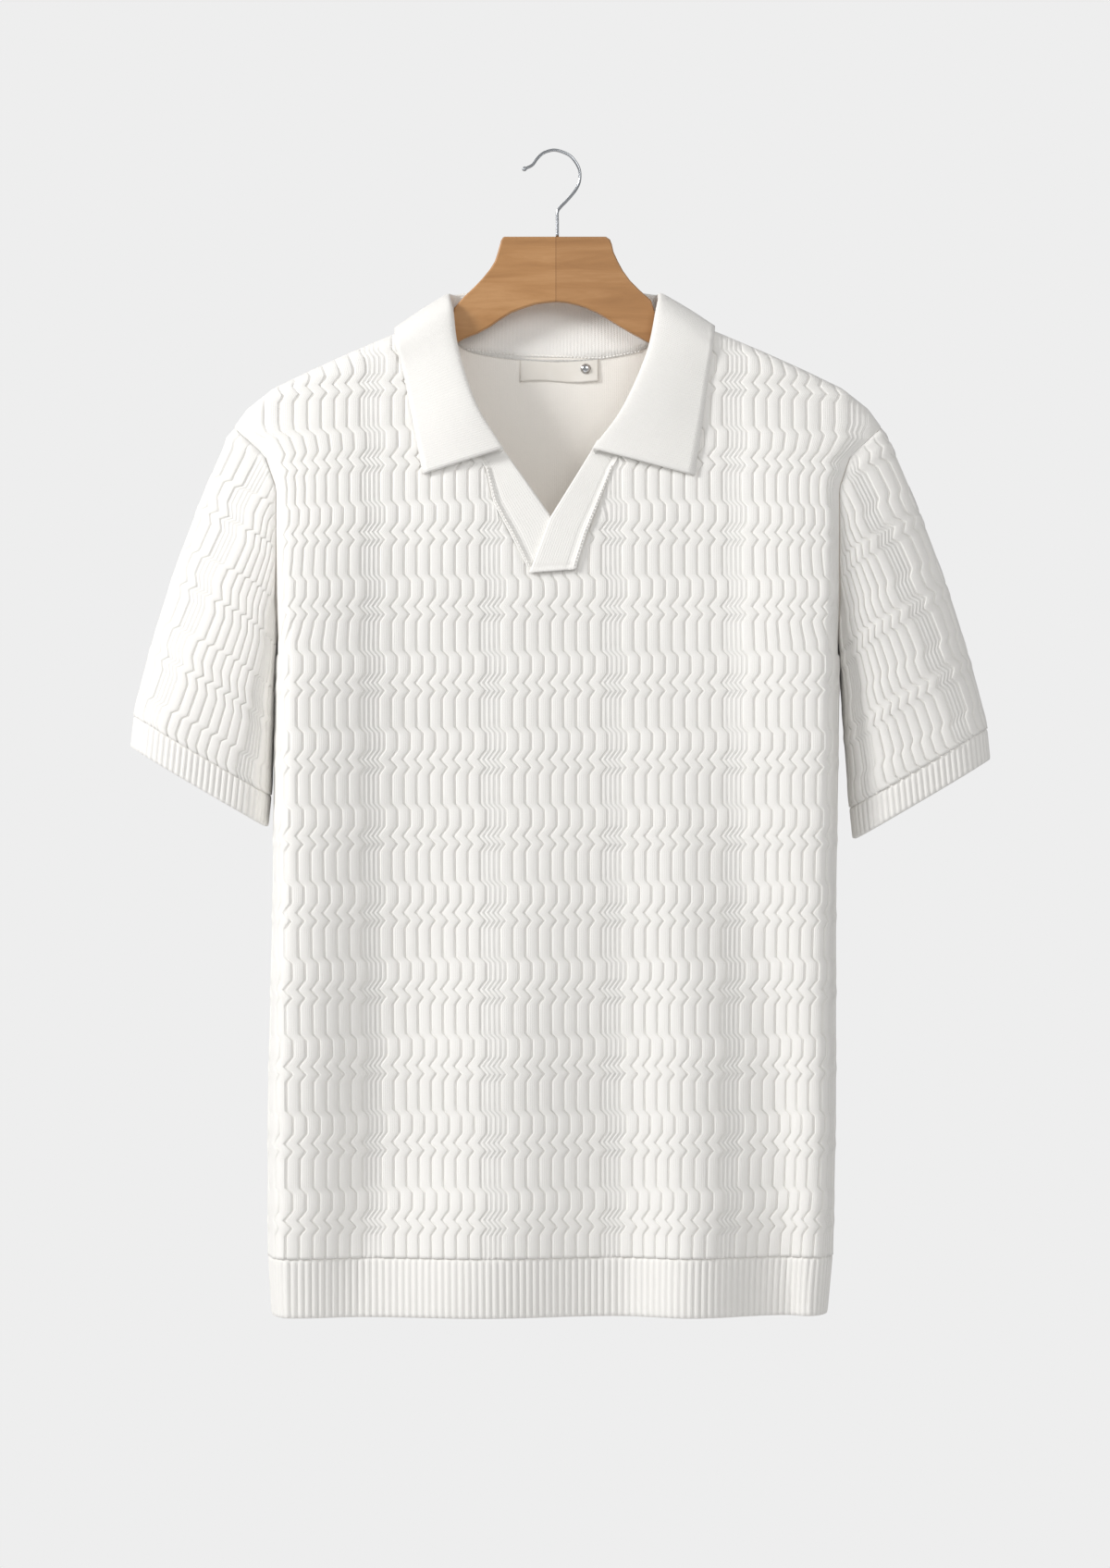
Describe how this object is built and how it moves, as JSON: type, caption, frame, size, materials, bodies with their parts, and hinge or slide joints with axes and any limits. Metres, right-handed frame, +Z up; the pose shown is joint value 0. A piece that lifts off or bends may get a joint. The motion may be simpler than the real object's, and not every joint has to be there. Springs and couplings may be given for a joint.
{
  "type": "knitted polo shirt on a wooden hanger",
  "caption": "A cream rib-knit polo shirt with an open collar and V placket, hanging on a wooden hanger with a wire hook.",
  "frame": {"origin": "the inside top of the hanger's hook, where a rail carries it", "axes": "+Z up, +X to the viewer's right as the shirt faces the viewer, the front panel on the -Y side"},
  "size_m": [0.631, 0.0944, 0.8554],
  "materials": {
    "rib_knit": "matt zigzag rib knit",
    "edge_knit": "matt narrow rib knit",
    "collar_knit": "matt fine plain knit",
    "label_leather": "smooth, soft sheen",
    "snap_metal": "polished dome",
    "hanger_wood": "satin lacquer",
    "hook_wire": "bright drawn wire"
  },
  "bodies": {
    "root": {"front_panel": "rib_knit", "back_panel": "rib_knit", "hem_rib_front": "edge_knit", "hem_rib_back": "edge_knit", "sleeve_left": "rib_knit", "sleeve_right": "rib_knit", "cuff_left": "edge_knit", "cuff_right": "edge_knit", "collar": "collar_knit", "placket_under": "collar_knit", "placket_over": "collar_knit", "neck_label": "label_leather", "label_snap": "snap_metal", "hanger_wood": "hanger_wood", "hanger_hook": "hook_wire"}
  },
  "joints": []
}
